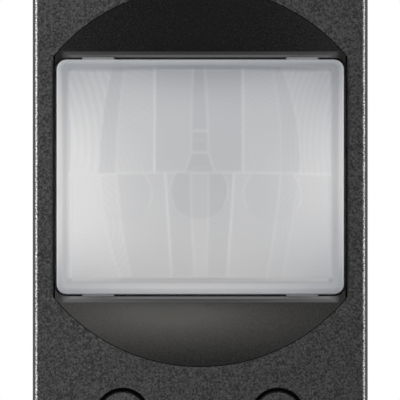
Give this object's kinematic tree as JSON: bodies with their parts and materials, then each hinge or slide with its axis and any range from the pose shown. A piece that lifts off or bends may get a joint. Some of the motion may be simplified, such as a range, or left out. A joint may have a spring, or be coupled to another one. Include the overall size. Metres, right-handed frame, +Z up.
{
  "type": "motion sensor light switch",
  "caption": "Modular wall switch with a motion sensor: barrel lens in a scooped dark face, round push buttons below, and screw terminals at the back.",
  "frame": {"origin": "centre of the face outline, in the plane where the flange bears on the wall frame", "axes": "+X to the right and +Z up as seen from the room, +Y into the wall; the face looks along -Y"},
  "size_m": [0.0448, 0.0451, 0.066],
  "materials": {
    "anthracite_paint": "satin, fine metallic speckle",
    "black_dish": "smooth matte",
    "white_lens": "milky, satin",
    "black_moulding": "matte",
    "grey_moulding": "matte",
    "light_grey_moulding": "matte",
    "green_board": "semi-matte",
    "sensor_metal": "satin",
    "sensor_window": "polished",
    "white_ceramic": "matte",
    "led_red": "clear red",
    "chip_black": "matte",
    "trimmer_blue": "smooth",
    "trimmer_white": "smooth",
    "relay_blue": "smooth",
    "film_yellow": "smooth",
    "can_sleeve": "smooth",
    "varistor_blue": "lacquered",
    "ferrite": "matte",
    "copper_wire": "enamelled",
    "header_gold": "plated",
    "contact_brass": "plain",
    "screw_steel": "zinc plated",
    "cage_steel": "yellow passivated"
  },
  "bodies": {
    "device": {"fascia": "anthracite_paint", "sensor_bezel": "black_dish", "lens": "white_lens", "optic_shroud": "black_moulding", "carrier": "black_moulding", "housing": "grey_moulding", "sensor_board": "green_board", "power_board": "green_board", "pyro_can": "sensor_metal", "pyro_pins": "sensor_metal", "pyro_window": "sensor_window", "pyro_spacer": "white_ceramic", "photocell": "white_ceramic", "indicator_led": "led_red", "left_tact_switch": "chip_black", "right_tact_switch": "chip_black", "time_trimmer_body": "trimmer_blue", "light_trimmer_body": "trimmer_blue", "microcontroller": "chip_black", "header_socket": "chip_black", "header_pins": "header_gold", "relay": "relay_blue", "film_capacitor": "film_yellow", "electrolytic_capacitor": "can_sleeve", "varistor": "varistor_blue", "choke_core": "ferrite", "choke_winding": "copper_wire", "fuse": "chip_black", "bridge_rectifier": "chip_black", "voltage_regulator": "chip_black", "terminal_body_1": "light_grey_moulding", "terminal_bar_1": "contact_brass", "terminal_body_2": "light_grey_moulding", "terminal_bar_2": "contact_brass", "terminal_body_3": "light_grey_moulding", "terminal_bar_3": "contact_brass", "terminal_body_4": "light_grey_moulding", "terminal_bar_4": "contact_brass"},
    "left_button": {"left_button": "anthracite_paint", "left_tact_plunger": "black_moulding"},
    "right_button": {"right_button": "anthracite_paint", "right_tact_plunger": "black_moulding"},
    "time_trimmer": {"time_trimmer_rotor": "trimmer_white"},
    "light_trimmer": {"light_trimmer_rotor": "trimmer_white"},
    "terminal_screw_1": {"terminal_screw_1": "screw_steel"},
    "terminal_cage_1": {"terminal_cage_1": "cage_steel"},
    "terminal_screw_2": {"terminal_screw_2": "screw_steel"},
    "terminal_cage_2": {"terminal_cage_2": "cage_steel"},
    "terminal_screw_3": {"terminal_screw_3": "screw_steel"},
    "terminal_cage_3": {"terminal_cage_3": "cage_steel"},
    "terminal_screw_4": {"terminal_screw_4": "screw_steel"},
    "terminal_cage_4": {"terminal_cage_4": "cage_steel"}
  },
  "joints": [
    {"name": "left_button_press", "type": "slide", "parent": "device", "child": "left_button", "axis": [0, 1, 0], "range_m": [0, 0.0005], "stiffness_N_per_m": 300},
    {"name": "right_button_press", "type": "slide", "parent": "device", "child": "right_button", "axis": [0, 1, 0], "range_m": [0, 0.0005], "stiffness_N_per_m": 300},
    {"name": "time_trimmer_turn", "type": "hinge", "parent": "device", "child": "time_trimmer", "pos_m": [-0.0036, -0.0024, -0.0242], "axis": [0, -1, 0], "range_deg": [-135, 135]},
    {"name": "light_trimmer_turn", "type": "hinge", "parent": "device", "child": "light_trimmer", "pos_m": [0.0036, -0.0024, -0.0242], "axis": [0, -1, 0], "range_deg": [-135, 135]},
    {"name": "terminal_screw_1_turn", "type": "hinge", "parent": "device", "child": "terminal_screw_1", "pos_m": [-0.015, 0.02805, -0.01735], "axis": [0, -1, 0], "range_deg": [0, 1440]},
    {"name": "terminal_cage_1_lift", "type": "slide", "parent": "device", "child": "terminal_cage_1", "axis": [0, 1, 0], "range_m": [0, 0.0024]},
    {"name": "terminal_screw_2_turn", "type": "hinge", "parent": "device", "child": "terminal_screw_2", "pos_m": [-0.005, 0.02805, -0.01735], "axis": [0, -1, 0], "range_deg": [0, 1440]},
    {"name": "terminal_cage_2_lift", "type": "slide", "parent": "device", "child": "terminal_cage_2", "axis": [0, 1, 0], "range_m": [0, 0.0024]},
    {"name": "terminal_screw_3_turn", "type": "hinge", "parent": "device", "child": "terminal_screw_3", "pos_m": [0.005, 0.02805, -0.01735], "axis": [0, -1, 0], "range_deg": [0, 1440]},
    {"name": "terminal_cage_3_lift", "type": "slide", "parent": "device", "child": "terminal_cage_3", "axis": [0, 1, 0], "range_m": [0, 0.0024]},
    {"name": "terminal_screw_4_turn", "type": "hinge", "parent": "device", "child": "terminal_screw_4", "pos_m": [0.015, 0.02805, -0.01735], "axis": [0, -1, 0], "range_deg": [0, 1440]},
    {"name": "terminal_cage_4_lift", "type": "slide", "parent": "device", "child": "terminal_cage_4", "axis": [0, 1, 0], "range_m": [0, 0.0024]}
  ],
  "couplings": [
    {"joint": "terminal_screw_1_turn", "follows": "terminal_cage_1_lift", "rad_per_m": 10472},
    {"joint": "terminal_screw_2_turn", "follows": "terminal_cage_2_lift", "rad_per_m": 10472},
    {"joint": "terminal_screw_3_turn", "follows": "terminal_cage_3_lift", "rad_per_m": 10472},
    {"joint": "terminal_screw_4_turn", "follows": "terminal_cage_4_lift", "rad_per_m": 10472}
  ]
}
